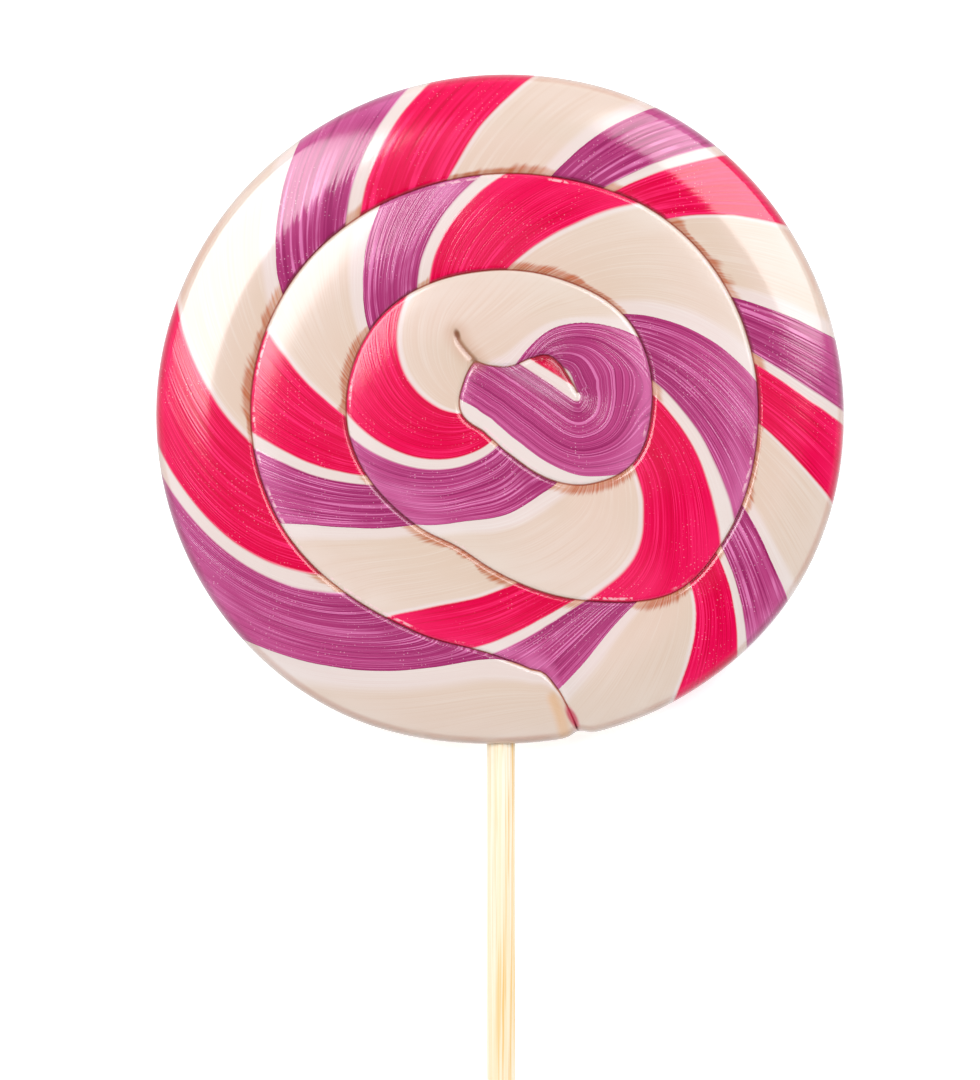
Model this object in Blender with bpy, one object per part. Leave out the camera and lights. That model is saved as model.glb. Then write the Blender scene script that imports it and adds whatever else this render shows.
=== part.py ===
"""Swirl lollipop: one rope of pulled sugar, coiled inwards and pressed flat on a round wooden stick.

The candy lies on its back on z = 0 with its face up, and the stick points along -Y.  Lengths are in
metres.  Places on the disc are given by a turn angle, in degrees clockwise from the stick as seen from
above, and a radius.  The groove between the coils is one curve whose turn angle keeps on growing.
"""

import math

import bmesh
import bpy
import numpy as np
from mathutils.geometry import delaunay_2d_cdt

MM = 0.001

# Driving sizes.
THICKNESS = 9.0 * MM
STICK_DIAMETER = 3.5 * MM
STICK_LENGTH = 150.0 * MM
STICK_EMBEDDED = 36.0 * MM  # length of stick inside the candy
STICK_CHAMFER = 0.3 * MM
CLEARANCE = 0.3 * MM  # between the stick and its socket

# Rim of the disc: radius every 30 degrees from the stick on, and the dent beside the rope's tail.
RIM_RADII = np.array([41.6, 42.75, 43.0, 42.75, 42.1, 41.5, 41.4, 42.0, 42.1, 42.5, 42.9, 42.2]) * MM
RIM_ROUNDING = 4.6 * MM  # width of the rounded edge
TAIL_ANGLE = 346.5  # where the rope's tail ends on the rim
TAIL_DENT = 0.6 * MM
TAIL_DENT_WIDTH = 1.6  # degrees

# Groove between the coils: turn angle and radius in mm, from the tail in to the rope's inner end.
GROOVE_KNOTS = (
    (346.5, 41.6), (347.5, 37.6), (349.5, 34.3), (354.0, 32.3), (360.0, 30.8), (380.0, 29.6),
    (425.0, 30.8), (450.0, 30.9), (480.0, 30.2), (525.0, 28.8), (555.0, 29.3), (580.0, 30.8),
    (635.0, 31.8), (660.0, 32.0), (675.0, 31.5), (695.0, 26.3), (722.0, 20.2), (735.0, 18.2),
    (755.0, 17.9), (805.0, 19.1), (840.0, 18.8), (895.0, 17.0), (925.0, 17.5), (955.0, 19.0),
    (990.0, 18.6), (1015.0, 17.4), (1030.0, 14.6), (1065.0, 6.4), (1080.0, 4.9), (1110.0, 3.7),
    (1170.0, 5.1), (1205.0, 5.6), (1231.0, 6.6),
)
# Crease between the two arms of the hairpin at the centre, x and y in mm, from the rope's end to the bend.
CREASE_POINTS = (
    (-3.2, 5.8), (-1.4, 5.2), (1.1, 5.1), (3.6, 6.1), (5.6, 6.5), (7.1, 5.6), (8.3, 3.9), (9.4, 1.9),
)

# Cross-section of the coils.
FACE_GROOVE_DEPTH = 1.5 * MM
FACE_GROOVE_REACH = 4.6 * MM  # how far the shoulders reach from the groove
FACE_GROOVE_POWER = 4.5
BACK_GROOVE_DEPTH = 0.9 * MM
BACK_GROOVE_REACH = 3.0 * MM
BACK_GROOVE_POWER = 3.0
CREASE_DEPTH_SHARE = 0.8  # of the groove's depth

# Pinched pit beside the rope's inner end.
PIT_CENTRE = np.array((-5.3, 8.1)) * MM
PIT_RADIUS = 1.3 * MM
PIT_DEPTH = 0.9 * MM

# Mesh steps.
GROOVE_STEP = 2.3 * MM
RIM_STEP = 3.0  # degrees
FACE_LINES = tuple(d * MM for d in (0.45, 1.0, 1.9, 3.1, 4.6))  # lines of points beside the groove
BACK_LINES = tuple(d * MM for d in (0.6, 1.6, 3.05))
RIM_LINES = tuple(d * MM for d in (0.1, 0.4, 0.95, 1.8, 3.0, 4.6))  # rings of points inside the rim
RING_SPACING = 0.95 * MM
STICK_SIDES = 32

CANDY_COLOUR = (0.75, 0.02, 0.08, 1.0)
WOOD_COLOUR = (0.84, 0.66, 0.40, 1.0)


def place(angle, radius):
    """Return the x, y of a turn angle in degrees and a radius."""
    turn = np.radians(angle)
    return np.stack((-radius * np.sin(turn), -radius * np.cos(turn)), axis=-1)


def rim_radius(angle):
    """Return the disc's outer radius at each turn angle, by a smooth closed curve through RIM_RADII."""
    step = 360.0 / len(RIM_RADII)
    along = np.mod(angle, 360.0) / step
    first = np.floor(along).astype(int)
    t = along - first
    p0, p1, p2, p3 = (RIM_RADII[(first + shift) % len(RIM_RADII)] for shift in (-1, 0, 1, 2))
    curve = p1 + 0.5 * t * (p2 - p0 + t * (2 * p0 - 5 * p1 + 4 * p2 - p3 + t * (3 * (p1 - p2) + p3 - p0)))
    off_tail = np.mod(angle - TAIL_ANGLE + 180.0, 360.0) - 180.0
    return curve - TAIL_DENT * np.exp(-((off_tail / TAIL_DENT_WIDTH) ** 2))


def smooth_curve(knots, values, at):
    """Return a smooth curve through values at knots, read at each place in at."""
    spans = np.diff(knots)
    rates = np.diff(values) / spans
    slopes = np.concatenate((
        rates[:1],
        (rates[:-1] * spans[1:] + rates[1:] * spans[:-1]) / (spans[:-1] + spans[1:]),
        rates[-1:],
    ))
    span = np.clip(np.searchsorted(knots, at, side="right") - 1, 0, len(spans) - 1)
    t = (at - knots[span]) / spans[span]
    return (
        values[span] * (1 + 2 * t) * (1 - t) ** 2
        + values[span + 1] * t * t * (3 - 2 * t)
        + spans[span] * t * (1 - t) * (slopes[span] * (1 - t) - slopes[span + 1] * t)
    )


def even_steps(line, step):
    """Return line resampled at even steps of about the given length, ends kept."""
    lengths = np.concatenate(([0.0], np.cumsum(np.hypot(*np.diff(line, axis=0).T))))
    marks = np.linspace(0.0, lengths[-1], max(2, round(lengths[-1] / step) + 1))
    return np.stack([np.interp(marks, lengths, line[:, axis]) for axis in (0, 1)], axis=-1)


def groove_line():
    """Return the groove between the coils, from the rim at the tail in to the rope's inner end."""
    angles, radii = np.array(GROOVE_KNOTS).T
    radii = radii * MM
    radii[0] = rim_radius(np.array([TAIL_ANGLE]))[0]
    fine = np.arange(angles[0], angles[-1] + 0.1, 0.25)
    return even_steps(place(fine, smooth_curve(angles, radii, fine)), GROOVE_STEP)


def crease_line():
    """Return the crease between the two arms of the hairpin."""
    points = np.array(CREASE_POINTS) * MM
    along = np.arange(len(points), dtype=float)
    fine = np.linspace(0.0, along[-1], 200)
    curve = np.stack([smooth_curve(along, points[:, axis], fine) for axis in (0, 1)], axis=-1)
    return even_steps(curve, 0.7 * GROOVE_STEP)


def distance_to(line, points):
    """Return each point's distance to a line of straight pieces."""
    start, run = line[:-1], np.diff(line, axis=0)
    offset = points[:, None, :] - start[None]
    share = np.clip((offset * run).sum(-1) / (run * run).sum(-1), 0.0, 1.0)
    return np.hypot(*(offset - share[..., None] * run).transpose(2, 0, 1)).min(axis=1)


def rim_distance(points):
    """Return how far each point lies inside the rim, measured along the radius."""
    angle = np.degrees(np.arctan2(-points[:, 0], -points[:, 1]))
    return rim_radius(angle) - np.hypot(points[:, 0], points[:, 1])


def bulge(inside):
    """Return the share of the half thickness reached at a distance inside the rim: 0 at the rim, then 1."""
    left = 1.0 - np.clip(inside / RIM_ROUNDING, 0.0, 1.0)
    return np.sqrt(np.clip(1.0 - left ** 2, 0.0, 1.0))


def groove_cut(points, groove, crease, depth, reach, power):
    """Return how deep the grooves cut at each point: deepest on the line, easing out on the shoulders."""
    shares = [
        (1.0, distance_to(groove, points)),
        (CREASE_DEPTH_SHARE, distance_to(crease, points)),
    ]
    cuts = [share * np.clip(1.0 - off / reach, 0.0, 1.0) ** power for share, off in shares]
    at_rim = np.clip(rim_distance(points) / RIM_ROUNDING, 0.0, 1.0) ** 0.5
    return depth * np.maximum(*cuts) * at_rim


def face_heights(points, groove, crease):
    """Return the height of the candy's face at each point."""
    pit = PIT_DEPTH * np.exp(-(np.hypot(*(points - PIT_CENTRE).T) / PIT_RADIUS) ** 2)
    cut = groove_cut(points, groove, crease, FACE_GROOVE_DEPTH, FACE_GROOVE_REACH, FACE_GROOVE_POWER)
    return 0.5 * THICKNESS * (1.0 + bulge(rim_distance(points))) - np.maximum(cut, pit)


def back_heights(points, groove, crease):
    """Return the height of the candy's back at each point, flat at 0 between the grooves."""
    cut = groove_cut(points, groove, crease, BACK_GROOVE_DEPTH, BACK_GROOVE_REACH, BACK_GROOVE_POWER)
    return 0.5 * THICKNESS * (1.0 - bulge(rim_distance(points))) + cut


def beside(line, distance):
    """Return the points at a distance on both sides of a line."""
    run = np.gradient(line, axis=0)
    normal = np.stack((-run[:, 1], run[:, 0]), axis=-1) / np.hypot(*run.T)[:, None]
    return np.concatenate((line + distance * normal, line - distance * normal))


def sheet_points(lines, line_distances, rim_rings):
    """Return the points of one sheet: the grooves' own lines come first, then points clear of all before.

    Args:
        lines: the groove and the crease.
        line_distances: how far beside them the next lines of points run.
        rim_rings: rings of points inside the rim, outermost first.
    """
    kept = np.concatenate(lines)
    for nearer, distance in zip((0.0, *line_distances), line_distances):
        both_sides = np.concatenate([beside(line, distance) for line in lines])
        off = np.minimum(*(distance_to(line, both_sides) for line in lines))
        clear_of_rim = rim_distance(both_sides) > RIM_LINES[3]
        for point in both_sides[(off > 0.9 * distance) & clear_of_rim]:
            if np.hypot(*(kept - point).T).min() > 0.8 * (distance - nearer):
                kept = np.vstack((kept, point))
    for ring, inside in zip(rim_rings, RIM_LINES):
        for point in ring:
            if np.hypot(*(kept - point).T).min() > min(RING_SPACING, 0.35 * MM + 0.2 * inside):
                kept = np.vstack((kept, point))
    return kept


def sheet(rim, lines, line_distances, rim_rings):
    """Return the flat triangles of one sheet, cut along the grooves: points with the rim's first, faces."""
    inner = sheet_points([line[1:] for line in lines], line_distances, rim_rings)
    points = np.concatenate((rim, inner))
    sides = [(index, (index + 1) % len(rim)) for index in range(len(rim))]
    first = len(rim)
    tail = int(np.argmin(np.hypot(*(rim - lines[0][0]).T)))
    groove = [tail] + list(range(first, first + len(lines[0]) - 1))
    end = groove[-1]
    crease = [end] + list(range(end + 1, end + len(lines[1])))
    cuts = [pair for path in (groove, crease) for pair in zip(path, path[1:])]
    in_mm = [tuple(point) for point in points / MM]
    flat, _, faces, origins, _, _ = delaunay_2d_cdt(in_mm, sides + cuts, [], 1, 1e-5)
    order = [source[0] if source else None for source in origins]
    if None in order or len(flat) != len(points):
        raise RuntimeError("the sheet's lines cross each other")
    return points, [[order[index] for index in face] for face in faces]


def candy_mesh():
    """Return the candy as one closed mesh: a grooved face and a grooved back that meet at the rim."""
    extra = TAIL_ANGLE + np.array((-3.0, -1.5, 0.0, 1.5, 3.0))
    even = np.arange(0.0, 360.0, RIM_STEP)
    off_extra = np.abs(even[:, None] - extra).min(axis=1) > 0.9
    angles = np.sort(np.concatenate((even[off_extra], extra)))
    radii = rim_radius(angles)
    rim = place(angles, radii)
    rings = [place(angles, radii - inside) for inside in RIM_LINES]
    groove, crease = groove_line(), crease_line()

    mesh = bmesh.new()
    rim_verts = [mesh.verts.new((x, y, 0.5 * THICKNESS)) for x, y in rim]
    sheets = ((FACE_LINES, face_heights, 1), (BACK_LINES, back_heights, -1))
    for line_distances, heights, up in sheets:
        points, faces = sheet(rim, (groove, crease), line_distances, rings)
        inner = points[len(rim):]
        level = heights(inner, groove, crease)
        verts = rim_verts + [mesh.verts.new((x, y, z)) for (x, y), z in zip(inner, level)]
        for face in faces:
            mesh.faces.new([verts[index] for index in face[::up]])
    bmesh.ops.recalc_face_normals(mesh, faces=mesh.faces)
    return mesh


def material(name, colour, roughness):
    """Return a new Principled material."""
    made = bpy.data.materials.new(name)
    made.use_nodes = True
    shader = made.node_tree.nodes["Principled BSDF"]
    shader.inputs["Base Color"].default_value = colour
    shader.inputs["Roughness"].default_value = roughness
    shader.inputs["Metallic"].default_value = 0.0
    return made


def add_object(name, mesh, finish=None):
    """Return a new scene object made from a bmesh, with one material."""
    data = bpy.data.meshes.new(name)
    mesh.to_mesh(data)
    mesh.free()
    made = bpy.data.objects.new(name, data)
    bpy.context.scene.collection.objects.link(made)
    if finish is not None:
        data.materials.append(finish)
    return made


def rod(outline):
    """Return a closed turned mesh along Y from (y, radius) pairs."""
    mesh = bmesh.new()
    angles = [2 * math.pi * (k + 0.5) / STICK_SIDES for k in range(STICK_SIDES)]
    rings = [
        [
            mesh.verts.new((radius * math.cos(angle), y, 0.5 * THICKNESS + radius * math.sin(angle)))
            for angle in angles
        ]
        for y, radius in outline
    ]
    for near, far in zip(rings, rings[1:]):
        for k in range(STICK_SIDES):
            after = (k + 1) % STICK_SIDES
            mesh.faces.new((near[k], near[after], far[after], far[k]))
    mesh.faces.new(rings[0])
    mesh.faces.new(rings[-1])
    bmesh.ops.recalc_face_normals(mesh, faces=mesh.faces)
    return mesh


def stick_top():
    """Return the y of the stick's end inside the candy."""
    return STICK_EMBEDDED - RIM_RADII[0]


def build_stick():
    """Build the stick, with a small chamfer round both ends."""
    radius = 0.5 * STICK_DIAMETER
    top, bottom = stick_top(), stick_top() - STICK_LENGTH
    outline = (
        (top, radius - STICK_CHAMFER),
        (top - STICK_CHAMFER, radius),
        (bottom + STICK_CHAMFER, radius),
        (bottom, radius - STICK_CHAMFER),
    )
    return add_object("stick", rod(outline), material("stick_wood", WOOD_COLOUR, 0.6))


def build_candy():
    """Build the candy and bore the stick's socket into its rim."""
    candy = add_object("candy_swirl", candy_mesh(), material("candy", CANDY_COLOUR, 0.25))
    radius = 0.5 * STICK_DIAMETER + CLEARANCE
    outside = -RIM_RADII[0] - 10 * MM
    cutter = add_object("socket_cutter", rod(((stick_top() + CLEARANCE, radius), (outside, radius))))
    cutter.hide_render = True
    cutter.display_type = "WIRE"
    bore = candy.modifiers.new("socket", "BOOLEAN")
    bore.operation = "DIFFERENCE"
    bore.solver = "EXACT"
    bore.object = cutter
    return candy


def main():
    """Clear the scene and build both parts."""
    for old in list(bpy.data.objects):
        bpy.data.objects.remove(old, do_unlink=True)
    build_candy()
    build_stick()


main()
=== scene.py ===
"""Swirl lollipop: the looks of a striped rope of pulled sugar, coiled flat on a round bamboo stick.

The candy lies on the floor with its face up and the stick points along -Y.  A place on the disc is given
by a turn angle, in degrees clockwise from the stick as seen from above, and a radius.  The rope is laid
out as a flat strip first, one lane for each share of its width, and the strip is then wound into the coil.
"""

import logging
import math
from collections.abc import Callable
from dataclasses import dataclass, field
from enum import Enum

import bpy
import numpy as np
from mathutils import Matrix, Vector, noise


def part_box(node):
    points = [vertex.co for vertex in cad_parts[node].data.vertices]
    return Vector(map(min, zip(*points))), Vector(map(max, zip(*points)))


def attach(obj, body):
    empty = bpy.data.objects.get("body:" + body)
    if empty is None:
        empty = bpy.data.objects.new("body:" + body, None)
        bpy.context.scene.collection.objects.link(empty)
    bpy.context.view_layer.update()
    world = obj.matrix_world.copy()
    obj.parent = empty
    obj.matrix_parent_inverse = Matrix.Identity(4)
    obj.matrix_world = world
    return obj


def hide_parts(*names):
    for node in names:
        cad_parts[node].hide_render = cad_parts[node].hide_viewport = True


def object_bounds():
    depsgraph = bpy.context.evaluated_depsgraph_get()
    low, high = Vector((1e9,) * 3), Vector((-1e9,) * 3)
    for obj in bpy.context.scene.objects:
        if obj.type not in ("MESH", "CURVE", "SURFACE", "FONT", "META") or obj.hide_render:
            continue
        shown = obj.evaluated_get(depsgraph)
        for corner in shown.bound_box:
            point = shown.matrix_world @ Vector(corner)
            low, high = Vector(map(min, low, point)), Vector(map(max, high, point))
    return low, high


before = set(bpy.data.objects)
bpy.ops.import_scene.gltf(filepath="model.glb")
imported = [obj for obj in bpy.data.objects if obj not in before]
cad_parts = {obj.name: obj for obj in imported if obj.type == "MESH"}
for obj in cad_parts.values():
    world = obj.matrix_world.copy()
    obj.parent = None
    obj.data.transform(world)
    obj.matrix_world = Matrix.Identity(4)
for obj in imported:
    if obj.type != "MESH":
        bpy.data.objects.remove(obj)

log = logging.getLogger("lollipop")

MM = 0.001
THREAD_MAP = "threads"
RIM_CLEARANCE = 0.01 * MM
CAD_LOW, CAD_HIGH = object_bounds()
Socket = bpy.types.NodeSocket
Colour = tuple[float, float, float, float]
Stops = list[tuple[float, Colour]]


class Side(Enum):
    """The two pressed sides of the disc."""

    FACE = "face"
    BACK = "back"


class Sugar(Enum):
    """The colours of pulled sugar in the rope, in their order along it."""

    PURPLE = 0
    RED = 1
    CREAM = 2


def paint(red: float, green: float, blue: float) -> Colour:
    """Return a shader colour from display values of 0 to 255."""
    def linear(value: float) -> float:
        share = value / 255.0
        return share / 12.92 if share <= 0.04045 else ((share + 0.055) / 1.055) ** 2.4

    return (linear(red), linear(green), linear(blue), 1.0)


def smooth_curve(knots: np.ndarray, values: np.ndarray, at: np.ndarray, steady: bool = False) -> np.ndarray:
    """Read a smooth curve through values at knots.

    Args:
        knots: rising places of the known values.
        values: the known values.
        at: places to read.
        steady: keep the curve from swinging past the known values.

    Returns:
        The curve's value at each place.
    """
    spans = np.diff(knots)
    rates = np.diff(values) / spans
    before, after = rates[:-1], rates[1:]
    if steady:
        product = before * after
        total = np.where(product > 0.0, before + after, 1.0)
        slopes = np.where(product > 0.0, 2.0 * product / total, 0.0)
    else:
        slopes = (before * spans[1:] + after * spans[:-1]) / (spans[:-1] + spans[1:])
    slopes = np.concatenate((rates[:1], slopes, rates[-1:]))
    span = np.clip(np.searchsorted(knots, at, side="right") - 1, 0, len(spans) - 1)
    t = (at - knots[span]) / spans[span]
    return (
        values[span] * (1 + 2 * t) * (1 - t) ** 2
        + values[span + 1] * t * t * (3 - 2 * t)
        + spans[span] * t * (1 - t) * (slopes[span] * (1 - t) - slopes[span + 1] * t)
    )


def across_rope(three: np.ndarray, share: float) -> np.ndarray:
    """Return values at a share of the rope's width, from those at its outer edge, middle and inner edge."""
    outer, middle, inner = three.T
    return (
        outer * (1 - share) * (1 - 2 * share)
        + middle * 4 * share * (1 - share)
        + inner * share * (2 * share - 1)
    )


def place(angle: np.ndarray, radius: np.ndarray) -> np.ndarray:
    """Return the x, y of turn angles in degrees and radii."""
    turn = np.radians(angle)
    return np.stack((-radius * np.sin(turn), -radius * np.cos(turn)), axis=-1)


def distance_to(line: np.ndarray, points: np.ndarray) -> np.ndarray:
    """Return each point's distance to a line of straight pieces."""
    nearest = np.full(len(points), np.inf)
    for start, end in zip(line[:-1], line[1:]):
        run = end - start
        offset = points - start
        share = np.clip(offset @ run / (run @ run), 0.0, 1.0)
        nearest = np.minimum(nearest, np.hypot(*(offset - share[:, None] * run).T))
    return nearest


def rise(value: np.ndarray, low: float, high: float) -> np.ndarray:
    """Return 0 below low, 1 above high, and a smooth rise between them."""
    t = np.clip((value - low) / (high - low), 0.0, 1.0)
    return t * t * (3.0 - 2.0 * t)


def deselect() -> None:
    """Clear the selection, so that operators act on the new piece only."""
    if bpy.context.object and bpy.context.object.mode != "OBJECT":
        bpy.ops.object.mode_set(mode="OBJECT")
    bpy.ops.object.select_all(action="DESELECT")


def activate(piece: bpy.types.Object) -> None:
    """Select one piece and make it active."""
    deselect()
    piece.select_set(True)
    bpy.context.view_layer.objects.active = piece


@dataclass
class NodeDesk:
    """Lays out the shader nodes of one material.

    Attributes:
        tree: the material's node tree.
    """

    tree: bpy.types.NodeTree

    def add(self, kind: str, **settings: object) -> bpy.types.Node:
        """Add a node and set its properties."""
        node = self.tree.nodes.new(kind)
        for name, value in settings.items():
            setattr(node, name, value)
        return node

    def feed(self, entry: Socket, value: object) -> None:
        """Link a socket to an entry, or set the entry to a plain value."""
        if isinstance(value, bpy.types.NodeSocket):
            self.tree.links.new(value, entry)
        else:
            entry.default_value = value

    def math(self, operation: str, first: object, second: object = 0.0, clamp: bool = False) -> Socket:
        """Return the result of a Math node."""
        node = self.add("ShaderNodeMath", operation=operation, use_clamp=clamp)
        self.feed(node.inputs[0], first)
        self.feed(node.inputs[1], second)
        return node.outputs[0]

    def rise(self, value: object, low: object, high: object, start: float = 0.0, end: float = 1.0) -> Socket:
        """Return a smooth step of value, from start at low to end at high."""
        node = self.add("ShaderNodeMapRange", interpolation_type="SMOOTHSTEP")
        for entry, given in zip(node.inputs[:5], (value, low, high, start, end)):
            self.feed(entry, given)
        return node.outputs[0]

    def vector(self, x: object, y: object, z: object = 0.0) -> Socket:
        """Return a vector of three values."""
        node = self.add("ShaderNodeCombineXYZ")
        for entry, given in zip(node.inputs, (x, y, z)):
            self.feed(entry, given)
        return node.outputs[0]

    def parts(self, attribute: str) -> list[Socket]:
        """Return the three values of one of the piece's own vector attributes."""
        source = self.add("ShaderNodeAttribute", attribute_name=attribute)
        split = self.add("ShaderNodeSeparateXYZ")
        self.feed(split.inputs[0], source.outputs["Vector"])
        return list(split.outputs)

    def grain(self, where: Socket, scale: float, detail: float = 2.0, roughness: float = 0.5) -> Socket:
        """Return a noise value at a place."""
        node = self.add("ShaderNodeTexNoise")
        self.feed(node.inputs["Vector"], where)
        for name, given in (("Scale", scale), ("Detail", detail), ("Roughness", roughness)):
            self.feed(node.inputs[name], given)
        return node.outputs[0]

    def mix(self, share: object, first: object, second: object, blend: str = "MIX") -> Socket:
        """Return a mix of two colours."""
        node = self.add("ShaderNodeMix", data_type="RGBA", blend_type=blend)
        self.feed(node.inputs[0], share)
        self.feed(node.inputs[6], first)
        self.feed(node.inputs[7], second)
        return node.outputs[2]

    def ramp(self, value: Socket, stops: Stops) -> Socket:
        """Return the colour of a ramp at a value."""
        node = self.add("ShaderNodeValToRGB")
        elements = node.color_ramp.elements
        while len(elements) < len(stops):
            elements.new(0.5)
        for element, (at, colour) in zip(elements, stops):
            element.position = at
            element.color = colour
        self.feed(node.inputs[0], value)
        return node.outputs[0]

    def spot(self, centre: tuple[float, float], half: tuple[float, float], lean: float, soft: float) -> Socket:
        """Return a mask that is 1 inside a leaning oval and 0 outside it.

        Args:
            centre: the oval's centre, in mm from the disc's centre.
            half: its half width and half height, in mm.
            lean: its turn, in degrees anticlockwise.
            soft: how far the edge fades, as a share of the oval.

        Returns:
            The mask.
        """
        source = self.add("ShaderNodeTexCoord")
        mapping = self.add("ShaderNodeMapping", vector_type="TEXTURE")
        self.feed(mapping.inputs[0], source.outputs["Object"])
        mapping.inputs["Location"].default_value = (centre[0] * MM, centre[1] * MM, 0.0)
        mapping.inputs["Rotation"].default_value = (0.0, 0.0, math.radians(lean))
        mapping.inputs["Scale"].default_value = (half[0] * MM, half[1] * MM, 1.0)
        length = self.add("ShaderNodeVectorMath", operation="LENGTH")
        self.feed(length.inputs[0], mapping.outputs[0])
        return self.rise(length.outputs["Value"], 1.0 + soft, 1.0 - soft)


def new_material(name: str) -> tuple[bpy.types.Material, NodeDesk, bpy.types.Node]:
    """Return a new material, its node desk and its Principled shader."""
    made = bpy.data.materials.new(name)
    made.use_nodes = True
    return made, NodeDesk(made.node_tree), made.node_tree.nodes["Principled BSDF"]


@dataclass(frozen=True)
class SugarColour:
    """One colour of pulled sugar.

    Attributes:
        body: its usual shade.
        deep: its darker shade in the hollows between threads, partly the threads' own tone and partly painted
            shade, and the painted shade towards each coil's inner edge.
        light: its lighter shade on the thin stretched threads, partly their own tone and partly painted sheen,
            and the painted sheen towards each coil's outer edge.
        shaded: its painted shade in and beside the grooves where two coils meet, and on the rounded rim,
        where it also stands for the deeper tone of the thick sugar.
    """

    body: Colour
    deep: Colour
    light: Colour
    shaded: Colour


@dataclass(frozen=True)
class PulledSugarFinish:
    """Satin pulled sugar: stripes made of fine threads, with white between them and a thin glaze.

    Attributes:
        colours: the shades of each colour.
        white: the shades of the white sugar between the colours.
        white_starts: the share of each colour's stretch at which the white after it starts.
        thread_strength: how clearly the threads show in each colour.
        edge_blur: how far the colours bleed into the white, in thirds of a twist.
        thread: width of a thread, in mm.
    """

    colours: dict[Sugar, SugarColour] = field(default_factory=lambda: {
        Sugar.PURPLE: SugarColour(
            paint(182, 64, 124), paint(146, 34, 92), paint(224, 128, 182), paint(124, 20, 66)),
        Sugar.RED: SugarColour(
            paint(230, 0, 76), paint(208, 0, 56), paint(247, 40, 106), paint(160, 0, 40)),
        Sugar.CREAM: SugarColour(
            paint(223, 203, 188), paint(216, 190, 169), paint(230, 217, 207), paint(184, 104, 66)),
    })
    white: SugarColour = SugarColour(
        paint(229, 214, 209), paint(225, 206, 199), paint(236, 227, 223), paint(204, 146, 116))
    white_starts: dict[Sugar, float] = field(default_factory=lambda: {
        Sugar.PURPLE: 0.835, Sugar.RED: 0.95, Sugar.CREAM: 0.84})
    thread_strength: dict[Sugar, float] = field(default_factory=lambda: {
        Sugar.PURPLE: 1.0, Sugar.RED: 0.6, Sugar.CREAM: 0.09})
    edge_blur: float = 0.012
    thread: float = 0.22

    def stops(self, shade: str) -> Stops:
        """Return the ramp of one shade over a whole twist."""
        made: Stops = []
        for sugar in Sugar:
            blur = self.edge_blur * (3.0 if sugar is Sugar.CREAM else 1.0)
            colour, white = getattr(self.colours[sugar], shade), getattr(self.white, shade)
            start, turn = float(sugar.value), sugar.value + self.white_starts[sugar]
            made += [
                ((start + self.edge_blur) / 3.0, colour),
                ((turn - blur) / 3.0, colour),
                ((turn + blur) / 3.0, white),
                ((start + 1.0 - self.edge_blur) / 3.0, white),
            ]
        return made

    def strength_stops(self) -> Stops:
        """Return the ramp of how clearly the threads show over a whole twist."""
        made: Stops = []
        weak = self.thread_strength[Sugar.CREAM]
        for sugar in Sugar:
            start, turn = float(sugar.value), sugar.value + self.white_starts[sugar]
            own = self.thread_strength[sugar]
            for at, value in ((start + self.edge_blur, own), (turn - self.edge_blur, own),
                              (turn + self.edge_blur, weak), (start + 1.0 - self.edge_blur, weak)):
                made.append((at / 3.0, (value, value, value, 1.0)))
        return made

    def build(self) -> bpy.types.Material:
        """Return the candy's material."""
        made, desk, shader = new_material("pulled_sugar")
        twist, across, spread = desk.parts("rope")
        gap, rim, fold = desk.parts("seam")
        coordinates = desk.add("ShaderNodeTexCoord").outputs["Object"]
        place = desk.add("ShaderNodeSeparateXYZ")
        desk.feed(place.inputs[0], coordinates)
        upper = desk.rise(place.outputs[1], -29.0 * MM, -27.0 * MM)
        facing = desk.rise(place.outputs[2], 4.0 * MM, 6.0 * MM)

        sway = desk.grain(desk.vector(desk.math("MULTIPLY", twist, 0.8), desk.math("MULTIPLY", across, 1.6)), 1.0)
        swayed = desk.math("ADD", twist, desk.math("MULTIPLY", desk.math("SUBTRACT", sway, 0.5), 0.08))
        band = desk.math("FRACT", desk.math("DIVIDE", swayed, 3.0))

        def threads(width: float, stretch: float, detail: float = 0.0) -> Socket:
            """Return a value that changes from thread to thread and hardly along them."""
            where = desk.vector(desk.math("DIVIDE", spread, width), desk.math("MULTIPLY", across, stretch))
            return desk.grain(where, 1.0, detail)

        fine = threads(self.thread, 0.5)
        hair = threads(self.thread / 1.8, 1.3)
        broad = threads(self.thread * 4.0, 0.35)
        patches = threads(self.thread * 16.0, 2.6, 2.0)
        strength = desk.ramp(band, self.strength_stops())
        colourful = desk.rise(strength, 0.2, 0.5)

        streak = desk.math("ADD", desk.math("MULTIPLY", fine, 0.5), desk.math("ADD", desk.math(
            "MULTIPLY", hair, 0.4), desk.math("MULTIPLY", broad, 0.1)))
        # Light threads: partly the sugar's own streaks, partly painted sheen.
        bright = desk.math("MULTIPLY", desk.rise(streak, 0.51, 0.60), desk.rise(patches, 0.34, 0.60, 0.2, 1.0))
        # Painted sheen: lighter towards each coil's outer edge, in patches.
        pale = desk.math("MULTIPLY", desk.rise(across, 0.4, 0.0), desk.rise(patches, 0.3, 0.7, 0.1, 0.6))
        # Painted shade: darker towards each coil's inner edge.
        inner_shade = desk.rise(across, 0.35, 0.95, 0.0, 0.55)
        thin = desk.rise(colourful, 0.0, 1.0, 0.35, 0.9)
        # Dark threads in the hollows, partly the sugar's own streaks and partly painted shade, with the painted shade
        # at the inner edge.
        dark = desk.math("MAXIMUM", desk.math("MULTIPLY", desk.rise(streak, 0.48, 0.38), thin), inner_shade)
        light = desk.math("MAXIMUM", desk.math("MULTIPLY", bright, thin), pale)
        colour = desk.ramp(band, self.stops("body"))
        colour = desk.mix(dark, colour, desk.ramp(band, self.stops("deep")))
        colour = desk.mix(light, colour, desk.ramp(band, self.stops("light")))

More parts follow.
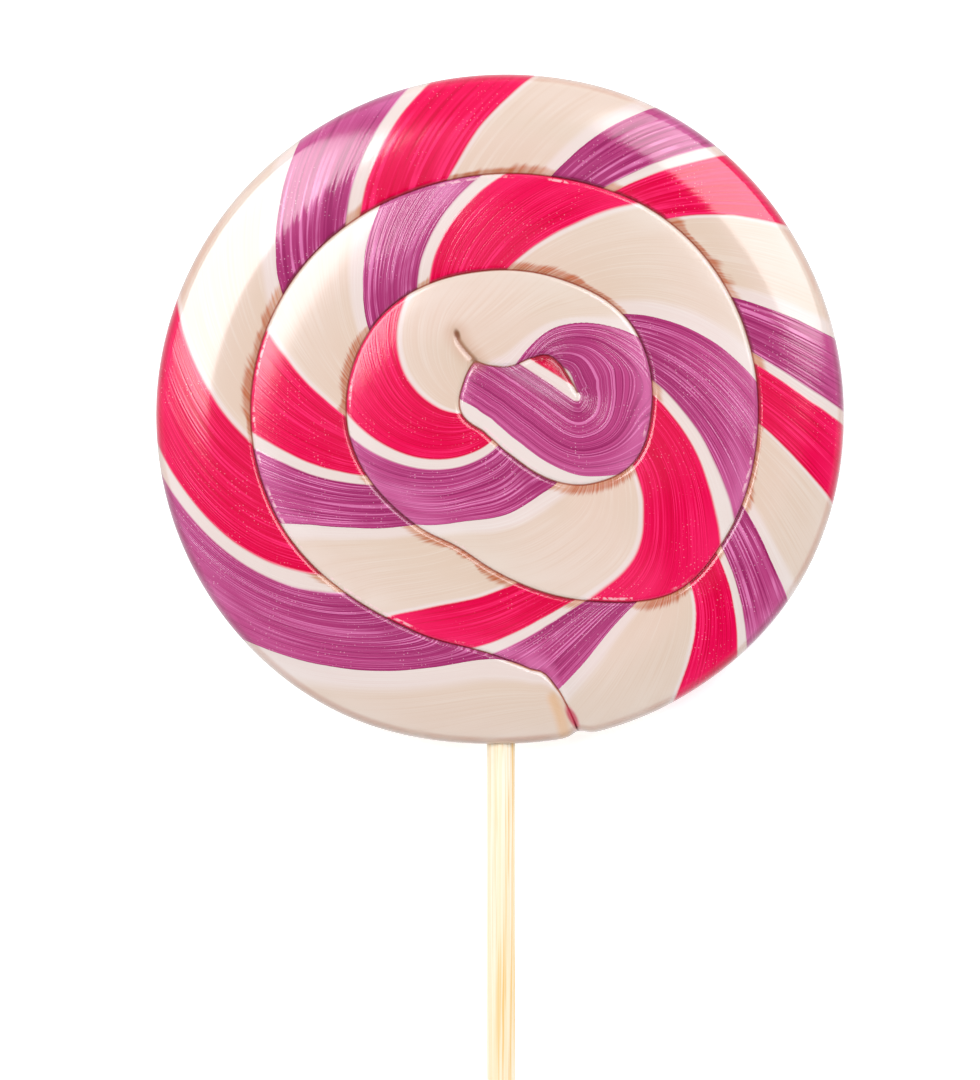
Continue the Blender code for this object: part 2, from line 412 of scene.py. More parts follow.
        dots = desk.add("ShaderNodeTexVoronoi", feature="F1", voronoi_dimensions="2D")
        desk.feed(dots.inputs["Vector"], coordinates)
        dots.inputs["Scale"].default_value = 1.0 / (0.46 * MM)
        split = desk.add("ShaderNodeSeparateColor")
        desk.feed(split.inputs[0], dots.outputs["Color"])
        crowd = desk.rise(desk.grain(coordinates, 1.0 / (5.0 * MM)), 0.40, 0.62, 0.0, 1.0)
        size = desk.math("MULTIPLY", desk.math("MULTIPLY", desk.rise(split.outputs[0], 0.3, 1.0), 0.21), crowd)
        speck = desk.math("MULTIPLY", desk.rise(dots.outputs["Distance"], size, desk.math(
            "MULTIPLY", size, 0.6)), desk.math("MULTIPLY", strength, desk.math("GREATER_THAN", size, 0.05)))
        colour = desk.mix(desk.math("MULTIPLY", speck, 0.4), colour, paint(250, 206, 224))

        # Painted shade tones, for the grooves and creases where the coils meet and for the rounded rim.
        shaded_tones = desk.ramp(band, self.stops("shaded"))
        # Painted shade on the outer coil's inner shoulder beside the groove: a brown band with a ragged fringe, wider
        # in patches, mostly on cream and white.
        inner = desk.rise(across, 0.45, 0.55)
        patchy = desk.rise(desk.grain(coordinates, 1.0 / (9.0 * MM)), 0.36, 0.58)
        comb = threads(self.thread * 1.3, 0.8, 2.0)
        ragged_reach = desk.math("MULTIPLY", desk.rise(comb, 0.35, 0.68), desk.rise(patchy, 0.0, 1.0, 0.1, 0.35))
        milky = desk.math("MULTIPLY", desk.rise(colourful, 1.0, 0.0, 0.3, 1.0), desk.rise(twist, 29.0, 28.9))
        reach = desk.math("MULTIPLY", desk.rise(patchy, 0.0, 1.0, 0.6, 1.3), upper)
        reach = desk.math("MULTIPLY", desk.math("MULTIPLY", desk.math("ADD", reach, ragged_reach), inner), milky)
        reach = desk.math("MAXIMUM", reach, 0.05)
        shade = desk.math("MULTIPLY", desk.rise(gap, reach, desk.math("MULTIPLY", reach, 0.5)), desk.rise(
            comb, 0.3, 0.7, 0.55, 1.0))
        colour = desk.mix(shade, colour, shaded_tones)
        # Painted highlight: a broken pale line along the inner coil's outer edge beside the groove.
        painted_glint = desk.math("MULTIPLY", desk.rise(gap, 0.2, 0.32), desk.rise(gap, 0.62, 0.5))
        painted_glint = desk.math("MULTIPLY", painted_glint, desk.rise(desk.grain(coordinates, 1.0 / (0.5 * MM)), 0.42, 0.56))
        painted_glint = desk.math("MULTIPLY", painted_glint, desk.rise(desk.math("ADD", inner, patchy), 0.7, 0.2, 0.0, 0.6))
        colour = desk.mix(painted_glint, colour, paint(252, 214, 220))
        # Painted shade: a thin dark line along the grooves.
        seam = desk.mix(1.0, shaded_tones, (0.60, 0.30, 0.21, 1.0), "MULTIPLY")
        colour = desk.mix(desk.rise(gap, 0.18, 0.05, 0.0, 0.72), colour, seam)
        # Painted shade along the crease beside the red wedge in the hairpin.
        wedge = desk.math("MULTIPLY", desk.rise(twist, 31.0, 31.03), desk.rise(gap, 1.3, 0.2, 0.0, 0.7))
        colour = desk.mix(wedge, colour, seam)
        # Painted shade on the rounded rim, together with the deeper tone of the thick sugar there, stronger in patches.
        edge = desk.math("MULTIPLY", desk.rise(rim, 1.15, 0.7), desk.rise(patchy, 0.0, 1.0, 0.16, 0.34))
        colour = desk.mix(edge, colour, shaded_tones)
        # Painted shade: a soft brown patch round the pit.
        halo = desk.math("MULTIPLY", upper, desk.rise(fold, 2.2, 0.2, 0.0, 0.35))
        colour = desk.mix(halo, colour, paint(190, 136, 96))
        # A thin line along the folds: painted shade in the pit's crease, an ochre streak of the sugar's own along the
        # tail's fold.
        tint = desk.mix(upper, paint(226, 172, 110), paint(140, 82, 44))
        creased = desk.rise(fold, desk.rise(upper, 0.0, 1.0, 1.2, 0.55), 0.1, 0.0, desk.rise(upper, 0.0, 1.0, 0.5, 0.7))
        colour = desk.mix(creased, colour, tint)
        # Painted shade: a dark brown spot in the pit.
        pit_shade = desk.math("MULTIPLY", desk.spot((-5.4, 9.1), (0.3, 0.6), 20.0, 0.6), facing)
        colour = desk.mix(desk.math("MULTIPLY", pit_shade, 0.65), colour, paint(112, 60, 32))
        dab = desk.math("MULTIPLY", desk.spot((8.8, -38.2), (0.5, 1.5), 28.0, 0.4), facing)
        colour = desk.mix(desk.math("MULTIPLY", dab, 0.8), colour, paint(196, 24, 78))
        # Painted sheen: pale streaks along the hairpin's lower arm.
        painted_limb_sheen = desk.math("MULTIPLY", desk.spot((3.8, 3.2), (4.6, 0.8), -31.0, 0.6), desk.rise(hair, 0.4, 0.7))
        colour = desk.mix(desk.math("MULTIPLY", desk.math("MULTIPLY", painted_limb_sheen, facing), 0.6), colour, paint(238, 206, 228))

        desk.feed(shader.inputs["Base Color"], colour)
        desk.feed(shader.inputs["Roughness"], desk.rise(streak, 0.3, 0.7, 0.29, 0.37))
        height = desk.math("ADD", desk.math("MULTIPLY", fine, 0.7), desk.math("ADD", desk.math(
            "MULTIPLY", hair, 0.3), desk.math("MULTIPLY", broad, 0.3)))
        height = desk.math("MULTIPLY", height, strength)
        bump = desk.add("ShaderNodeBump")
        bump.inputs["Strength"].default_value = 1.0
        bump.inputs["Distance"].default_value = 0.09 * MM
        desk.feed(bump.inputs["Height"], height)
        desk.feed(shader.inputs["Normal"], bump.outputs[0])
        soft = desk.add("ShaderNodeBump")
        soft.inputs["Strength"].default_value = 0.3
        soft.inputs["Distance"].default_value = 0.09 * MM
        desk.feed(soft.inputs["Height"], height)
        desk.feed(shader.inputs["Coat Normal"], soft.outputs[0])
        desk.feed(shader.inputs["Tangent"], desk.add(
            "ShaderNodeTangent", direction_type="UV_MAP", uv_map=THREAD_MAP).outputs[0])
        shader.inputs["Anisotropic"].default_value = 1.0
        shader.inputs["Anisotropic Rotation"].default_value = 0.25
        shader.inputs["Specular IOR Level"].default_value = 0.24
        shader.inputs["Specular Tint"].default_value = (1.0, 0.42, 0.7, 1.0)
        shader.inputs["Coat Weight"].default_value = 1.0
        shader.inputs["Coat Roughness"].default_value = 0.10
        shader.inputs["Coat IOR"].default_value = 1.48
        return made


@dataclass(frozen=True)
class BambooFinish:
    """Pale turned bamboo with long fibres.

    Attributes:
        pale: the shade between the fibres.
        body: the usual shade.
        fibre: the shade of the fibres.
    """

    pale: Colour = paint(255, 247, 228)
    body: Colour = paint(254, 234, 196)
    fibre: Colour = paint(246, 204, 128)

    def build(self) -> bpy.types.Material:
        """Return the stick's material."""
        made, desk, shader = new_material("bamboo")
        coordinates = desk.add("ShaderNodeTexCoord").outputs["Object"]
        mapping = desk.add("ShaderNodeMapping")
        desk.feed(mapping.inputs[0], coordinates)
        mapping.inputs["Scale"].default_value = (1.0, 0.012, 1.0)
        wide = desk.grain(mapping.outputs[0], 1.0 / (0.7 * MM), 2.0)
        thin = desk.grain(mapping.outputs[0], 1.0 / (0.26 * MM), 2.0)
        split = desk.add("ShaderNodeSeparateXYZ")
        desk.feed(split.inputs[0], coordinates)
        # The fibres show more strongly on the stick's right (+x) side than on its left.
        rightward = desk.rise(split.outputs[0], -1.0 * MM, 0.2 * MM, 0.3, 1.0)
        colour = desk.mix(desk.rise(wide, 0.35, 0.6), self.pale, self.body)
        colour = desk.mix(desk.math("MULTIPLY", desk.rise(thin, 0.48, 0.64), rightward), colour, self.fibre)
        desk.feed(shader.inputs["Base Color"], colour)
        desk.feed(shader.inputs["Roughness"], desk.rise(thin, 0.3, 0.7, 0.48, 0.62))
        bump = desk.add("ShaderNodeBump")
        bump.inputs["Strength"].default_value = 0.6
        bump.inputs["Distance"].default_value = 0.04 * MM
        desk.feed(bump.inputs["Height"], thin)
        desk.feed(shader.inputs["Normal"], bump.outputs[0])
        return made


@dataclass(frozen=True)
class PaperFinish:
    """The pale matt floor.

    Attributes:
        shade: its colour.
        glow: how much light it gives of itself, as a lit table does.
    """

    shade: Colour = (0.86, 0.86, 0.86, 1.0)
    glow: float = 0.62

    def build(self) -> bpy.types.Material:
        """Return the floor's material."""
        made, _, shader = new_material("paper")
        shader.inputs["Base Color"].default_value = self.shade
        shader.inputs["Roughness"].default_value = 0.9
        shader.inputs["Specular IOR Level"].default_value = 0.1
        shader.inputs["Emission Color"].default_value = (1.0, 1.0, 1.0, 1.0)
        shader.inputs["Emission Strength"].default_value = self.glow
        return made


@dataclass
class SwirlCandy:
    """The coiled rope of striped sugar, pressed flat.

    Attributes:
        thickness: of the disc.
        rim_radii: the disc's outer radius in mm, every 30 degrees from the stick on.
        rim_rounding: width of the rounded edge.
        tail_angle: where the rope's tail ends on the rim.
        groove_knots: turn angle and radius in mm of the groove between the coils, from the tail inwards.
        crease_points: x, y in mm of the crease between the arms of the hairpin, from the rope's end on.
        hairpin: turn angle and share of the crease that the rope's inner edge has reached.
        stripe_starts: turn angles at which each colour starts, at the outer edge, middle and inner edge.
        hairpin_twist: the same three turn angles and the three twists reached there, round the hairpin.
        lanes: steps across the rope.
        column_step: degrees between the steps along the rope.
    """

    thickness: float = CAD_HIGH.z - CAD_LOW.z
    rim_radii: tuple[float, ...] = (
        41.6, 42.75, 43.0, 42.75, 42.1, 41.5, 41.4, 42.0, 42.1, 42.5, 42.9, 42.2)
    rim_rounding: float = 1.2 * MM
    rim_squareness: float = 2.5
    rim_fall: float = 1.3 * MM
    rim_fall_reach: float = 9.0 * MM
    tail_angle: float = 346.5
    tail_dent: float = 0.6 * MM
    tail_dent_width: float = 1.6
    groove_knots: tuple[tuple[float, float], ...] = (
        (346.5, 41.6), (347.5, 37.6), (349.5, 34.3), (354.0, 32.3), (360.0, 30.8), (380.0, 29.6),
        (425.0, 30.8), (450.0, 30.9), (480.0, 30.2), (525.0, 28.8), (555.0, 29.3), (580.0, 30.8),
        (635.0, 31.8), (660.0, 32.0), (675.0, 31.5), (695.0, 26.3), (722.0, 20.2), (735.0, 18.2),
        (755.0, 17.9), (805.0, 19.1), (840.0, 18.8), (895.0, 17.0), (925.0, 17.5), (955.0, 19.0),
        (990.0, 18.6), (1015.0, 17.4), (1030.0, 14.6), (1065.0, 6.4), (1080.0, 4.9), (1110.0, 3.7),
        (1170.0, 5.1), (1205.0, 5.6), (1231.0, 6.6))
    crease_points: tuple[tuple[float, float], ...] = (
        (-3.2, 5.8), (-1.4, 5.2), (1.1, 5.1), (3.6, 6.1), (5.6, 6.5), (7.1, 5.6), (8.3, 3.9), (9.4, 1.9))
    hairpin: tuple[tuple[float, float], ...] = (
        (871.0, 0.0), (970.0, 1.0), (1051.0, 1.0), (1062.0, 0.82), (1091.0, 0.59), (1118.0, 0.43),
        (1167.0, 0.29), (1195.0, 0.18), (1231.0, 0.0))
    stripe_starts: tuple[tuple[float, float, float], ...] = (
        (48.5, 26.0, 0.0), (84.5, 63.5, 46.5), (110.5, 96.5, 83.5),
        (143.5, 129.5, 117.5), (168.0, 155.0, 143.5), (187.0, 177.5, 168.0),
        (207.5, 199.5, 192.0), (222.0, 215.5, 207.5), (238.5, 230.5, 222.0),
        (258.5, 252.0, 244.0), (273.0, 267.5, 260.0), (287.0, 281.0, 274.5),
        (304.0, 298.5, 292.0), (316.5, 310.0, 304.0), (331.0, 320.0, 313.5),
        (361.0, 342.5, 325.0), (381.0, 363.5, 339.0), (391.0, 379.0, 356.0),
        (422.5, 412.5, 396.5), (444.5, 434.5, 423.0), (470.0, 460.5, 448.0),
        (509.0, 495.0, 480.5), (541.0, 523.5, 510.0), (576.5, 561.5, 544.0),
        (624.0, 607.5, 592.0), (662.0, 644.0, 625.0), (698.5, 673.0, 654.5),
        (756.5, 716.5, 682.0), (809.0, 775.5, 735.0), (864.0, 832.0, 805.0))
    tail_twist: tuple[float, ...] = (-13.5, -13.5, -13.5, -0.86, -0.5, -0.01)
    lead_span: float = 50.0
    lead_radius: float = 29.8 * MM
    hairpin_twist: tuple[tuple[float, ...], ...] = (
        (955.0, 930.0, 884.0, 29.84, 29.84, 29.84),
        (963.0, 935.5, 904.0, 30.0, 30.0, 30.0),
        (985.0, 967.0, 950.0, 30.2, 30.42, 30.85),
        (1002.0, 990.0, 972.0, 30.12, 30.44, 31.0),
        (1018.0, 1018.0, 1018.0, 30.01, 30.45, 31.15),
        (1032.0, 1032.0, 1032.0, 29.93, 30.46, 31.2),
        (1048.0, 1048.0, 1048.0, 29.87, 30.44, 31.22),
        (1070.0, 1070.0, 1070.0, 29.87, 30.41, 31.22),
        (1232.0, 1232.0, 1232.0, 29.87, 30.4, 31.22))
    ball_third: float = 17.0
    hairpin_start: float = 950.0
    hairpin_blend: float = 32.0
    hairpin_heading: float = 148.4
    hairpin_end_cut: float = 1150.0
    hairpin_share: float = 0.84
    lanes: int = 36
    column_step: float = 1.0
    tail_columns: tuple[float, ...] = (0.3, 0.6, 0.9, 1.6, 2.0, 2.9, 3.3)
    groove_depth: float = 0.22 * MM
    groove_outer_reach: float = 0.4 * MM
    groove_inner_reach: float = 0.5 * MM
    pillow_depth: float = 0.26 * MM
    pillow_reach: float = 7.0 * MM
    pit_points: tuple[tuple[float, float], ...] = ((-5.5, 9.2), (-5.3, 8.4), (-4.8, 7.6), (-4.1, 6.8), (-3.2, 5.8))
    fold_points: tuple[tuple[float, float], ...] = ((6.4, -35.8), (7.3, -38.0), (8.0, -40.7))
    fold_depth: float = 0.15 * MM
    fold_reach: float = 1.1 * MM
    finish: PulledSugarFinish = field(default_factory=PulledSugarFinish)

    def rim_curve(self, angle: np.ndarray) -> np.ndarray:
        """Return the disc's outer radius at each turn angle, without the dent at the tail."""
        radii = np.array(self.rim_radii) * MM
        step = 360.0 / len(radii)
        along = np.mod(angle, 360.0) / step
        first = np.floor(along).astype(int)
        t = along - first
        p0, p1, p2, p3 = (radii[(first + shift) % len(radii)] for shift in (-1, 0, 1, 2))
        return p1 + 0.5 * t * (p2 - p0 + t * (2 * p0 - 5 * p1 + 4 * p2 - p3 + t * (3 * (p1 - p2) + p3 - p0)))

    def rim_radius(self, angle: np.ndarray) -> np.ndarray:
        """Return the disc's outer radius at each turn angle."""
        off_tail = np.mod(angle - self.tail_angle + 180.0, 360.0) - 180.0
        return self.rim_curve(angle) - RIM_CLEARANCE - self.tail_dent * np.exp(-((off_tail / self.tail_dent_width) ** 2))

    def rim_distance(self, points: np.ndarray) -> np.ndarray:
        """Return how far each point lies inside the rim, along the radius."""
        angle = np.degrees(np.arctan2(-points[:, 0], -points[:, 1]))
        return self.rim_radius(angle) - np.hypot(*points.T)

    def groove(self, turns: np.ndarray) -> np.ndarray:
        """Return the x, y of the groove between the coils at each turn angle."""
        angles, radii = np.array(self.groove_knots).T
        radii = radii * MM
        radii[0] = self.rim_radius(np.array([self.tail_angle]))[0]
        turns = np.clip(turns, angles[0], angles[-1])
        return place(turns, smooth_curve(angles, radii, turns))

    def crease(self, shares: np.ndarray) -> np.ndarray:
        """Return the x, y of the hairpin's crease at each share of its length."""
        points = np.array(self.crease_points) * MM
        points[0] = self.groove(np.array([self.groove_knots[-1][0]]))[0]
        along = np.arange(len(points), dtype=float)
        at = shares * along[-1]
        return np.stack([smooth_curve(along, points[:, axis], at) for axis in (0, 1)], axis=-1)

    def columns(self) -> np.ndarray:
        """Return the turn angles of the steps along the rope, the same in every turn of the coil."""
        end = self.groove_knots[-1][0]
        first = self.tail_angle - 360.0
        even = np.arange(0.0, 360.0, self.column_step)
        bend_low, bend_high = (self.hairpin[knot][0] - first for knot in (2, 3))
        bend = np.arange(math.ceil(bend_low) + 0.5, bend_high, self.column_step)
        closing = np.append(bend, end - first) % 360.0
        each_turn = np.unique(np.concatenate((even, self.tail_columns, closing)))
        turns = np.concatenate([first + 360.0 * turn + each_turn for turn in range(4)])
        return np.append(turns[turns < end - 0.4], end)

    def edges(self, turns: np.ndarray) -> tuple[np.ndarray, np.ndarray]:
        """Return the rope's outer and inner edge at each turn angle."""
        on_rim = turns < self.tail_angle
        outer = np.where(on_rim[:, None], place(turns, self.rim_radius(turns)), self.groove(turns))
        start, bend, _ = (knot[0] for knot in self.hairpin[:3])
        share = np.interp(turns, *np.array(self.hairpin).T)
        upper = np.interp(turns[(turns >= start) & (turns <= bend)], *np.array(self.hairpin).T)
        nearest = np.abs(share[:, None] - upper[None]).argmin(axis=1)
        share = np.where(turns > bend, upper[nearest], share)
        inner = np.where((turns < start)[:, None], self.groove(turns + 360.0), self.crease(share))
        return outer, inner

    def hairpin_offset(self, turns: np.ndarray, places: Callable[[np.ndarray], np.ndarray]) -> np.ndarray:
        """Return how far points lie from the middle line of the hairpin's threads.

        Args:
            turns: turn angles of the points' columns.
            places: gives the points at those turn angles.

        Returns:
            The distances, counted as negative on the line's upper side where the column is in the lower arm.
        """
        pivot = np.array(self.crease_points[-1]) * MM
        heading = math.radians(self.hairpin_heading)
        away = places(turns) - pivot
        ahead = away @ np.array((math.cos(heading), math.sin(heading)))
        above = away @ np.array((-math.sin(heading), math.cos(heading)))
        lower = (turns > self.hairpin[2][0]).reshape(-1, *[1] * (above.ndim - 1))
        return np.where(ahead < 0.0, np.hypot(away[..., 0], away[..., 1]), np.where(lower, above, np.abs(above)))

    def twist(self, turns: np.ndarray, shares: np.ndarray, side: Side) -> np.ndarray:
        """Return the rope's twist, in thirds, along every lane.

        Args:
            turns: turn angles of the columns.
            shares: the lanes' places across the rope, 0 at the outer edge.
            side: the face or the back, where the stripes lean the other way.

        Returns:
            The twist at each column and lane: 0 where the first purple starts, 1 more at each next colour.
        """
        fine = np.linspace(0.0, 1.0, 101)
        starts = np.array(self.stripe_starts)
        steps = np.repeat(np.arange(float(len(starts)))[:, None], 3, axis=1)
        rows = np.vstack((self.tail_twist, np.hstack((starts, steps)), self.hairpin_twist))
        lanes = []
        for share in fine:
            places, twists = across_rope(rows[:, :3], share), across_rope(rows[:, 3:], share)
            if side is Side.BACK:
                mirrored = 2.0 * rows[:, 0] - places
                places = np.maximum.accumulate(mirrored) + 0.01 * np.arange(len(rows))
            lanes.append(smooth_curve(places, twists, turns, steady=True))
        table = np.stack(lanes, axis=-1)
        outer, inner = self.edges(turns)
        points = outer[:, None] * (1.0 - shares[:, None]) + inner[:, None] * shares[:, None]
        leading = np.abs(turns - self.tail_angle) < self.lead_span
        fall = rise(turns, self.tail_angle, self.tail_angle + self.lead_span)
        lead = self.rim_curve(np.minimum(turns, self.tail_angle)) * (1.0 - fall) + self.lead_radius * fall
        lead = np.maximum(lead, np.hypot(*outer.T))[:, None]
        led = (lead - np.hypot(*points.T).T) / (lead - np.hypot(*inner.T)[:, None])
        share = np.where(leading[:, None], led, shares[None, :])
        bent = turns > self.hairpin_start
        reach = self.hairpin_offset(np.minimum(turns[bent], self.hairpin_end_cut), self.groove)
        offset = self.hairpin_offset(turns[bent], lambda _: points[bent])
        blend = rise(turns[bent], self.hairpin_start, self.hairpin_start + self.hairpin_blend)[:, None]
        share[bent] = share[bent] * (1.0 - blend) + self.hairpin_share * (1.0 - offset / reach[:, None]) * blend
        at = np.clip(share, 0.0, 1.0) * (len(fine) - 1)
        low = np.minimum(at.astype(int), len(fine) - 2)
        rest = at - low
        row = np.arange(len(turns))[:, None]
        return table[row, low] * (1.0 - rest) + table[row, low + 1] * rest

    def spread(self, twist: np.ndarray) -> np.ndarray:
        """Return how far the rope's stripes reach along it, in mm, up to each twist."""
        middles = np.array([start[1] for start in self.stripe_starts])
        radius = np.hypot(*(0.5 * (self.groove(middles) + self.groove(middles + 360.0))).T) / MM
        steps = np.radians(np.diff(middles)) * 0.5 * (radius[1:] + radius[:-1])
        reached = np.concatenate(([0.0], np.cumsum(steps)))
        knots = np.concatenate(([-1.0], np.arange(float(len(middles))), [29.84, 30.0, 32.0]))
        reached = np.concatenate(([-26.0], reached, reached[-1] + np.array((12.0, 14.0, 14.0 + 2.0 * self.ball_third))))
        return np.interp(twist, knots, reached)

    def groove_turns(self) -> np.ndarray:
        """Return the turn angles that draw the whole groove, those of the steps along the rope."""
        turns = self.columns()
        return turns[turns >= self.tail_angle]

    def height(self, points: np.ndarray, shares: np.ndarray, gap: np.ndarray, fold_gap: np.ndarray,
               side: Side) -> np.ndarray:
        """Return the height of one side at each point.

        Args:
            points: x, y of the points.
            shares: their places across the rope.
            gap: their distances to the nearest groove or crease.
            fold_gap: their distances to the fold in the tail.
            side: the face or the back.

        Returns:
            The height of each point.
        """
        from_rim = self.rim_distance(points)
        inside = np.clip(from_rim / self.rim_rounding, 0.0, 1.0)
        power = self.rim_squareness
        bulge = np.clip(1.0 - (1.0 - inside) ** power, 0.0, 1.0) ** (1.0 / power)
        slope = self.rim_fall * (1.0 - np.clip(from_rim / self.rim_fall_reach, 0.0, 1.0)) ** 2
        reach = np.where(shares > 0.5, self.groove_inner_reach, self.groove_outer_reach)
        cut = self.groove_depth * np.clip(1.0 - gap / reach, 0.0, 1.0) ** 2
        cut += self.pillow_depth * np.clip(1.0 - gap / self.pillow_reach, 0.0, 1.0) ** 2
        cut += self.fold_depth * np.clip(1.0 - fold_gap / self.fold_reach, 0.0, 1.0) ** 2
        level = (0.5 * self.thickness - slope) * bulge - cut * inside ** 0.5
        return 0.5 * self.thickness + (level if side is Side.FACE else -level)

    def layout(self, points: np.ndarray, side: Side) -> np.ndarray:
        """Return the places of the points on the bake sheet, with the rounded edge unrolled."""
        inside = np.clip(self.rim_distance(points) / self.rim_rounding, 0.0, 1.0)
        unrolled = self.rim_rounding * (1.0 - inside) * (1.0 + 2.4 * (1.0 - inside) ** 6)
        angle = np.degrees(np.arctan2(-points[:, 0], -points[:, 1]))
        radius = np.where(
            inside < 1.0, self.rim_radius(angle) - self.rim_rounding + unrolled, np.hypot(*points.T))
        flat = place(angle, radius) / (2.0 * 46.5 * MM)
        if side is Side.FACE:
            return 0.34 + 0.005 + 0.68 * flat
        return 1.0 - 0.24 - 0.005 + 0.48 * flat * np.array((-1.0, 1.0))

    def strip(self, side: Side) -> bpy.types.Object:
        """Return one side of the rope as a strip wound into the coil."""
        turns = self.columns()
        deselect()
        bpy.ops.mesh.primitive_grid_add(x_subdivisions=len(turns) - 1, y_subdivisions=self.lanes, size=2.0)
        piece = bpy.context.object
        piece.name = f"candy_{side.value}"
        mesh = piece.data
        flat = np.array([vertex.co for vertex in mesh.vertices])
        column = np.rint((flat[:, 0] + 1.0) / 2.0 * (len(turns) - 1)).astype(int)
        lane = np.rint((flat[:, 1] + 1.0) / 2.0 * self.lanes).astype(int)
        shares = 0.5 - 0.5 * np.cos(np.pi * np.arange(self.lanes + 1) / self.lanes)

        outer, inner = self.edges(turns)
        share = shares[lane]
        points = outer[column] * (1.0 - share[:, None]) + inner[column] * share[:, None]
        lines = [self.groove(self.groove_turns()), self.crease(np.linspace(0.0, 1.0, 60))]
        gap = np.min([distance_to(line, points) for line in lines], axis=0)
        folds = [np.array(line) * MM for line in (self.pit_points, self.fold_points)]
        fold_gap = np.min([distance_to(line, points) for line in folds], axis=0)
        if side is Side.BACK:
            fold_gap += self.thickness
        height = self.height(points, share, gap, fold_gap, side)
        mesh.vertices.foreach_set("co", np.column_stack((points, height)).ravel())

        twist = self.twist(turns, shares, side)[column, lane]
        rope = np.column_stack((twist, share, self.spread(twist)))
        seam = np.column_stack((gap, self.rim_distance(points), fold_gap)) / MM
        corners = np.array([corner.vertex_index for corner in mesh.loops])
        for name, values in (("rope", rope), ("seam", seam)):
            made = mesh.attributes.new(name, "FLOAT_VECTOR", "CORNER")
            made.data.foreach_set("vector", values[corners].ravel())
        for old in list(mesh.uv_layers):
            mesh.uv_layers.remove(old)
        sheet = mesh.uv_layers.new(name="OFBake")
        sheet.uv.foreach_set("vector", self.layout(points, side)[corners].ravel())
        grain = mesh.uv_layers.new(name=THREAD_MAP)
        grain.uv.foreach_set("vector", np.column_stack((share, twist))[corners].ravel())
        return piece

    def build(self) -> bpy.types.Object:
        """Return the whole candy: the face and the back joined at the rim."""
        face, back = self.strip(Side.FACE), self.strip(Side.BACK)
        activate(face)
        back.select_set(True)
        bpy.ops.object.join()
        face.name = "swirl_candy"
        face.data.name = "swirl_candy"
        bpy.ops.object.mode_set(mode="EDIT")
        bpy.ops.mesh.select_all(action="SELECT")
        bpy.ops.mesh.remove_doubles(threshold=0.002 * MM)
        bpy.ops.mesh.dissolve_degenerate(threshold=0.001 * MM)
        bpy.ops.mesh.select_all(action="SELECT")
        bpy.ops.mesh.normals_make_consistent(inside=False)
        bpy.ops.object.mode_set(mode="OBJECT")
        bpy.ops.object.shade_smooth()
        face.data.materials.append(self.finish.build())
        return face


@dataclass
class BambooStick:
    """The round stick, with eased ends.

    Attributes:
        radius: of the stick.
        top: y of the end inside the candy.
        bottom: y of the free end.
        level: height of its axis.
        sides: steps round it.
    """

    radius: float = 0.5 * (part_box("stick")[1].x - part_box("stick")[0].x)
    top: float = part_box("stick")[1].y
    bottom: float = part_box("stick")[0].y
    level: float = 0.5 * (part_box("stick")[0].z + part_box("stick")[1].z)
    ease: float = 0.35 * MM
    sides: int = 64
    finish: BambooFinish = field(default_factory=BambooFinish)

    def build(self) -> bpy.types.Object:
        """Return the stick."""
        deselect()
        length = self.top - self.bottom
        bpy.ops.mesh.primitive_cylinder_add(
            vertices=self.sides, radius=self.radius, depth=length,
            location=(0.0, 0.5 * (self.top + self.bottom), self.level), rotation=(math.radians(90.0), 0.0, 0.0))
        piece = bpy.context.object
        piece.name = "bamboo_stick"
        piece.data.name = "bamboo_stick"
        bpy.ops.object.transform_apply(location=True, rotation=True, scale=True)
        bpy.ops.object.mode_set(mode="EDIT")
        bpy.ops.mesh.select_mode(type="EDGE")
        bpy.ops.mesh.select_all(action="DESELECT")
        bpy.ops.object.mode_set(mode="OBJECT")
        for edge in piece.data.edges:
            ends = [piece.data.vertices[index].co.y for index in edge.vertices]
            edge.select = abs(ends[0] - ends[1]) < 0.5 * length
        bpy.ops.object.mode_set(mode="EDIT")
        bpy.ops.mesh.bevel(offset=self.ease, segments=4, affect="EDGES")
        bpy.ops.object.mode_set(mode="OBJECT")
        bpy.ops.object.shade_smooth_by_angle(angle=math.radians(50.0))
        piece.data.materials.append(self.finish.build())
        return piece


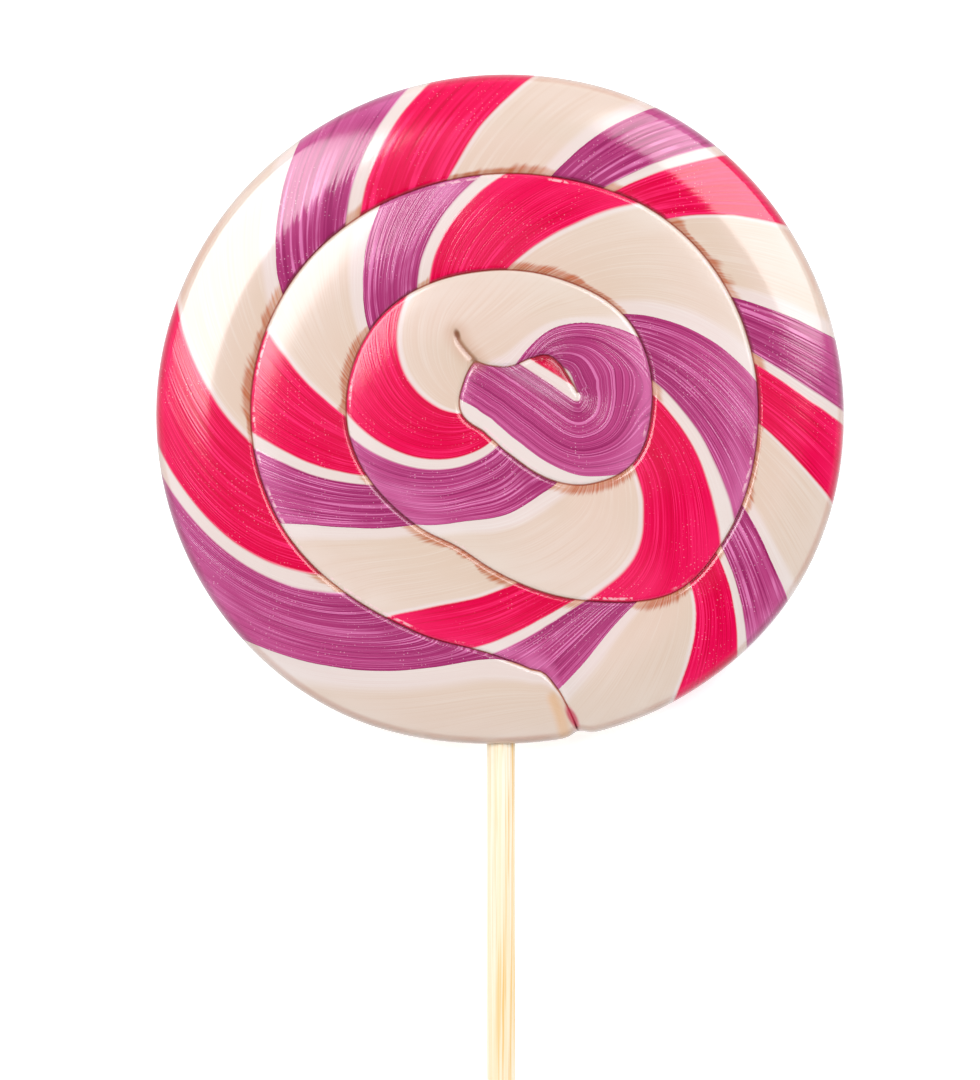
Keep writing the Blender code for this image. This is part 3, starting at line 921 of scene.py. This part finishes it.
@dataclass
class Studio:
    """The floor, the lights and the camera.

    Attributes:
        view_width: width of the floor that the camera sees.
        view_height: height of the floor that the camera sees.
        centre: what the camera looks straight down on.
        lens: focal length, long enough to look almost parallel.
    """

    view_height: float = 133.92 * MM
    centre: tuple[float, float] = (-1.364 * MM, -16.306 * MM)
    lens: float = 200.0
    sensor: float = 36.0
    finish: PaperFinish = field(default_factory=PaperFinish)

    def floor(self) -> bpy.types.Object:
        """Return the floor under the candy."""
        deselect()
        bpy.ops.mesh.primitive_plane_add(size=6.0, location=(0.0, 0.0, CAD_LOW.z - 0.05 * MM))
        piece = bpy.context.object
        piece.name = "floor"
        bpy.ops.object.transform_apply(location=True, rotation=True, scale=True)
        piece.visible_glossy = False
        piece.data.materials.append(self.finish.build())
        return piece

    def softbox(self, name: str, where: tuple[float, float, float], size: tuple[float, float],
                power: float) -> bpy.types.Object:
        """Return a soft light that faces the candy."""
        bpy.ops.object.light_add(type="AREA", location=where)
        lamp = bpy.context.object
        lamp.name = name
        lamp.data.shape = "ELLIPSE"
        lamp.data.size, lamp.data.size_y = size
        lamp.data.energy = power
        lamp.rotation_euler = (-Vector(where)).to_track_quat("-Z", "Y").to_euler()
        return lamp

    def build(self) -> None:
        """Make the whole studio."""
        self.floor()
        self.softbox("soft_left", (-0.203, 0.153, 0.544), (0.26, 0.34), 2.0)
        self.softbox("soft_right", (0.210, 0.190, 0.529), (0.30, 0.31), 1.42)
        world = bpy.data.worlds.new("studio")
        bpy.context.scene.world = world
        world.use_nodes = True
        desk = NodeDesk(world.node_tree)
        split = desk.add("ShaderNodeSeparateXYZ")
        desk.feed(split.inputs[0], desk.add("ShaderNodeTexCoord").outputs["Generated"])
        background = world.node_tree.nodes["Background"]
        background.inputs[0].default_value = (1.0, 1.0, 1.0, 1.0)
        above = desk.rise(split.outputs[2], 0.45, 0.88, 0.72, 0.03)
        desk.feed(background.inputs[1], above)
        distance = self.view_height * self.lens / self.sensor
        level = 0.5 * (CAD_LOW.z + CAD_HIGH.z)
        bpy.ops.object.camera_add(location=(*self.centre, level + distance), rotation=(0.0, 0.0, 0.0))
        camera = bpy.context.object
        camera.name = "camera"
        camera.data.lens = self.lens
        camera.data.sensor_width = self.sensor
        camera.data.clip_start, camera.data.clip_end = 0.05, 20.0
        scene = bpy.context.scene
        scene.camera = camera
        scene.view_settings.view_transform = "Standard"


def report(piece: bpy.types.Object) -> None:
    """Write a piece's size to the log."""
    piece.data.calc_loop_triangles()
    log.info("%s: %d triangles", piece.name, len(piece.data.loop_triangles))


def main() -> None:
    """Build the lollipop and its studio."""
    logging.basicConfig(level=logging.INFO, format="%(name)s: %(message)s")
    candy = SwirlCandy().build()
    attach(candy, "root")
    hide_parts("candy_swirl")
    report(candy)
    stick = BambooStick().build()
    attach(stick, "root")
    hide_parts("stick")
    report(stick)
    Studio().build()
    deselect()


if __name__ == "__main__":
    main()
